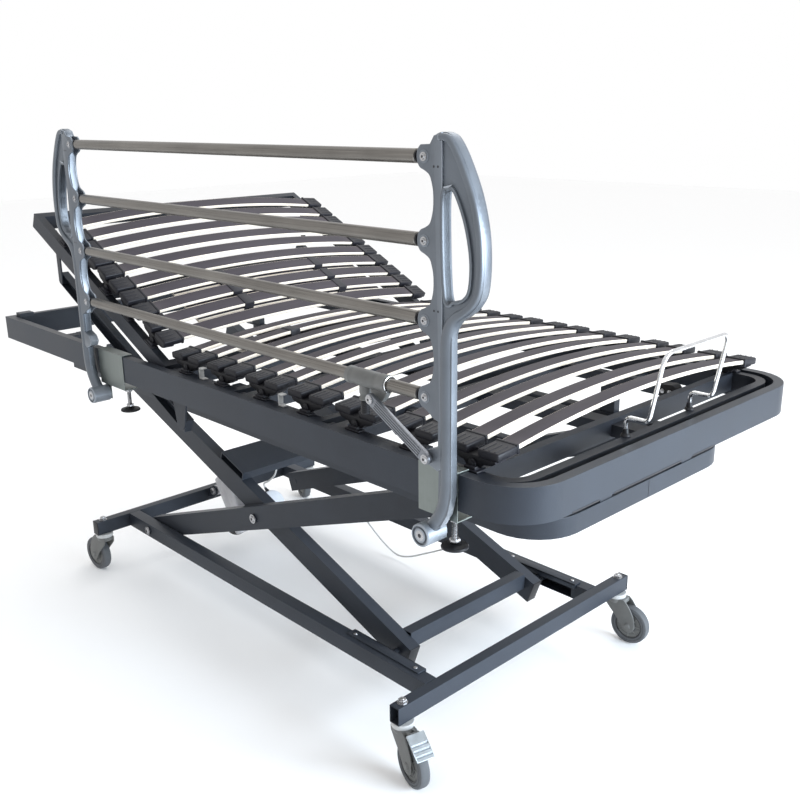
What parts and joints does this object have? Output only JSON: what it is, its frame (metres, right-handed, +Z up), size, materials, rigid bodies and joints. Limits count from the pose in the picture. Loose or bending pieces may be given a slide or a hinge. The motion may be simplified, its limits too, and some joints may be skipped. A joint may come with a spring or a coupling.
{
  "type": "adjustable hospital bed",
  "caption": "Height-adjustable care bed: scissor lift on swivel casters, slatted deck with raising back and knee sections, folding bar side guard on one side.",
  "frame": {"origin": "centre of the outline on the floor", "axes": "+X from the head end to the foot end, -Y towards the guard, +Z up"},
  "size_m": [1.9645, 0.9754, 1.28],
  "materials": {
    "frame_paint": "satin powder coat",
    "deck_paint": "satin powder coat",
    "guard_cast": "silver lacquer",
    "bar_steel": "satin",
    "zinc": "zinc plated",
    "chrome": "polished",
    "black_rubber": "moulded",
    "slat_wood": "foil faced veneer",
    "caster_grey": "moulded",
    "wheel_grey": "moulded",
    "motor_grey": "moulded",
    "cable": "satin"
  },
  "bodies": {
    "chassis": {"chassis_foot_tube": "frame_paint", "chassis_head_tube": "frame_paint", "chassis_rail_near": "frame_paint", "chassis_rail_far": "frame_paint", "rail_cable": "cable"},
    "outer_arms": {"outer_arm_near": "frame_paint", "outer_arm_far": "frame_paint"},
    "inner_arms": {"inner_arm_near": "frame_paint", "inner_arm_far": "frame_paint", "sliding_cross_tube": "frame_paint", "lift_beam": "frame_paint"},
    "drive_body": {"lift_drive_housing": "motor_grey", "motor_lead": "cable"},
    "drive_rod": {"lift_drive_rod": "bar_steel"},
    "bed_frame": {"bed_frame": "frame_paint", "lift_top_frame": "frame_paint", "seat_frame": "deck_paint", "slat_pair_06": "slat_wood", "slat_pair_07": "slat_wood", "guard_clamp_foot": "zinc", "guard_clamp_head": "zinc", "clamp_disc_foot": "black_rubber", "clamp_disc_head": "black_rubber"},
    "back_section": {"back_frame": "deck_paint", "slat_pair_01": "slat_wood", "slat_pair_02": "slat_wood", "slat_pair_03": "slat_wood", "slat_pair_04": "slat_wood", "slat_pair_05": "slat_wood"},
    "back_levers": {"back_lever_near": "deck_paint", "back_lever_far": "deck_paint"},
    "back_links": {"back_link_near": "deck_paint", "back_link_far": "deck_paint"},
    "thigh_section": {"thigh_frame": "deck_paint", "slat_pair_08": "slat_wood", "slat_pair_09": "slat_wood"},
    "leg_section": {"leg_frame": "deck_paint", "slat_pair_10": "slat_wood", "slat_pair_11": "slat_wood", "slat_pair_12": "slat_wood", "mattress_retainer": "chrome"},
    "guard_foot_post": {"guard_foot_post": "guard_cast"},
    "guard_head_post": {"guard_head_post": "guard_cast"},
    "guard_bar_1": {"guard_bar_1": "bar_steel"},
    "guard_bar_2": {"guard_bar_2": "bar_steel"},
    "guard_bar_3": {"guard_bar_3": "bar_steel"},
    "guard_bar_4": {"guard_bar_4": "bar_steel"},
    "latch_sleeve": {"latch_sleeve": "guard_cast"},
    "latch_knob": {"latch_knob": "black_rubber"},
    "guard_strut": {"guard_strut": "guard_cast"},
    "brake_pedal": {"brake_pedal": "zinc"},
    "caster_near_foot": {"caster_fork_near_foot": "caster_grey"},
    "wheel_near_foot": {"caster_wheel_near_foot": "wheel_grey"},
    "caster_far_foot": {"caster_fork_far_foot": "caster_grey"},
    "wheel_far_foot": {"caster_wheel_far_foot": "wheel_grey"},
    "caster_near_head": {"caster_fork_near_head": "caster_grey"},
    "wheel_near_head": {"caster_wheel_near_head": "wheel_grey"},
    "caster_far_head": {"caster_fork_far_head": "caster_grey"},
    "wheel_far_head": {"caster_wheel_far_head": "wheel_grey"}
  },
  "joints": [
    {"name": "lift", "type": "hinge", "parent": "chassis", "child": "outer_arms", "pos_m": [-0.54885, 0.02075, 0.148], "axis": [0, -1, 0], "range_deg": [-15, 2]},
    {"name": "scissor_centre", "type": "hinge", "parent": "outer_arms", "child": "inner_arms", "pos_m": [-0.05824, 0.02075, 0.32803], "axis": [0, -1, 0], "range_deg": [-4, 30]},
    {"name": "scissor_top", "type": "hinge", "parent": "inner_arms", "child": "bed_frame", "pos_m": [-0.81688, 0.02075, 0.6064], "axis": [0, -1, 0], "range_deg": [-15, 2]},
    {"name": "drive_swing", "type": "hinge", "parent": "chassis", "child": "drive_body", "pos_m": [-0.62925, 0.02075, 0.168], "axis": [0, -1, 0], "range_deg": [-24.82, 3.4]},
    {"name": "drive_stroke", "type": "slide", "parent": "drive_body", "child": "drive_rod", "axis": [0.8367, 0, 0.5477], "range_m": [-0.05467, 0.00772]},
    {"name": "back_raise", "type": "hinge", "parent": "bed_frame", "child": "back_section", "pos_m": [-0.11485, 0.02075, 0.728], "axis": [0, 1, 0], "range_deg": [-26, 31]},
    {"name": "back_lever_pivot", "type": "hinge", "parent": "bed_frame", "child": "back_levers", "pos_m": [-0.11485, 0.02075, 0.603], "axis": [0, 1, 0], "range_deg": [-26, 31]},
    {"name": "back_link_pivot", "type": "hinge", "parent": "back_section", "child": "back_links", "pos_m": [-0.68558, 0.02075, 1.00637], "axis": [0, 1, 0], "range_deg": [-31, 26]},
    {"name": "thigh_raise", "type": "hinge", "parent": "bed_frame", "child": "thigh_section", "pos_m": [0.16775, 0.02075, 0.728], "axis": [0, -1, 0], "range_deg": [0, 26]},
    {"name": "knee", "type": "hinge", "parent": "thigh_section", "child": "leg_section", "pos_m": [0.46175, 0.02075, 0.728], "axis": [0, -1, 0], "range_deg": [-40.3, 0]},
    {"name": "guard_fold", "type": "hinge", "parent": "bed_frame", "child": "guard_foot_post", "pos_m": [0.78175, -0.46225, 0.637], "axis": [0, -1, 0], "range_deg": [0, 75]},
    {"name": "guard_head_fold", "type": "hinge", "parent": "bed_frame", "child": "guard_head_post", "pos_m": [-0.38375, -0.46225, 0.637], "axis": [0, -1, 0], "range_deg": [0, 75]},
    {"name": "bar_1_pivot", "type": "hinge", "parent": "guard_foot_post", "child": "guard_bar_1", "pos_m": [0.78175, -0.46225, 0.873], "axis": [0, -1, 0], "range_deg": [-75, 0]},
    {"name": "bar_2_pivot", "type": "hinge", "parent": "guard_foot_post", "child": "guard_bar_2", "pos_m": [0.78175, -0.46225, 0.997], "axis": [0, -1, 0], "range_deg": [-75, 0]},
    {"name": "bar_3_pivot", "type": "hinge", "parent": "guard_foot_post", "child": "guard_bar_3", "pos_m": [0.78175, -0.46225, 1.12], "axis": [0, -1, 0], "range_deg": [-75, 0]},
    {"name": "bar_4_pivot", "type": "hinge", "parent": "guard_foot_post", "child": "guard_bar_4", "pos_m": [0.78175, -0.46225, 1.244], "axis": [0, -1, 0], "range_deg": [-75, 0]},
    {"name": "sleeve_slide", "type": "slide", "parent": "guard_bar_1", "child": "latch_sleeve", "axis": [1, 0, 0], "range_m": [0, 0.07119]},
    {"name": "strut_pivot", "type": "hinge", "parent": "guard_foot_post", "child": "guard_strut", "pos_m": [0.79125, -0.46225, 0.7734], "axis": [0, -1, 0], "range_deg": [-42.12, 0]},
    {"name": "knob_pull", "type": "slide", "parent": "latch_sleeve", "child": "latch_knob", "axis": [0, 0, -1], "range_m": [0, 0.008], "stiffness_N_per_m": 400, "springref_m": -0.004},
    {"name": "swivel_near_foot", "type": "hinge", "parent": "chassis", "child": "caster_near_foot", "pos_m": [0.60025, -0.35925, 0.128], "axis": [0, 0, 1], "continuous": true},
    {"name": "roll_near_foot", "type": "hinge", "parent": "caster_near_foot", "child": "wheel_near_foot", "pos_m": [0.641, -0.36941, 0.05], "axis": [0.2419, 0.9703, 0], "continuous": true},
    {"name": "brake", "type": "hinge", "parent": "caster_near_foot", "child": "brake_pedal", "pos_m": [0.64682, -0.37086, 0.1245], "axis": [0.2419, 0.9703, 0], "range_deg": [-14, 3]},
    {"name": "swivel_far_foot", "type": "hinge", "parent": "chassis", "child": "caster_far_foot", "pos_m": [0.60025, 0.40075, 0.128], "axis": [0, 0, 1], "continuous": true},
    {"name": "roll_far_foot", "type": "hinge", "parent": "caster_far_foot", "child": "wheel_far_foot", "pos_m": [0.64202, 0.40514, 0.05], "axis": [-0.1045, 0.9945, 0], "continuous": true},
    {"name": "swivel_near_head", "type": "hinge", "parent": "chassis", "child": "caster_near_head", "pos_m": [-0.67375, -0.35925, 0.128], "axis": [0, 0, 1], "continuous": true},
    {"name": "roll_near_head", "type": "hinge", "parent": "caster_near_head", "child": "wheel_near_head", "pos_m": [-0.71552, -0.36364, 0.05], "axis": [0.1045, -0.9945, 0], "continuous": true},
    {"name": "swivel_far_head", "type": "hinge", "parent": "chassis", "child": "caster_far_head", "pos_m": [-0.67375, 0.40075, 0.128], "axis": [0, 0, 1], "continuous": true},
    {"name": "roll_far_head", "type": "hinge", "parent": "caster_far_head", "child": "wheel_far_head", "pos_m": [-0.71369, 0.41373, 0.05], "axis": [-0.309, -0.9511, 0], "continuous": true}
  ],
  "couplings": [
    {"joint": "scissor_centre", "follows": "lift", "ratio": -2},
    {"joint": "scissor_top", "follows": "lift", "ratio": 1},
    {"joint": "drive_swing", "follows": "lift", "ratio": 1.6478},
    {"joint": "drive_stroke", "follows": "lift", "m_per_rad": 0.20691},
    {"joint": "back_lever_pivot", "follows": "back_raise", "ratio": 1},
    {"joint": "back_link_pivot", "follows": "back_raise", "ratio": -1},
    {"joint": "knee", "follows": "thigh_raise", "ratio": -1.55},
    {"joint": "guard_head_fold", "follows": "guard_fold", "ratio": 1},
    {"joint": "bar_1_pivot", "follows": "guard_fold", "ratio": -1},
    {"joint": "bar_2_pivot", "follows": "guard_fold", "ratio": -1},
    {"joint": "bar_3_pivot", "follows": "guard_fold", "ratio": -1},
    {"joint": "bar_4_pivot", "follows": "guard_fold", "ratio": -1},
    {"joint": "sleeve_slide", "follows": "guard_fold", "m_per_rad": 0.054},
    {"joint": "strut_pivot", "follows": "guard_fold", "ratio": -0.55892}
  ]
}
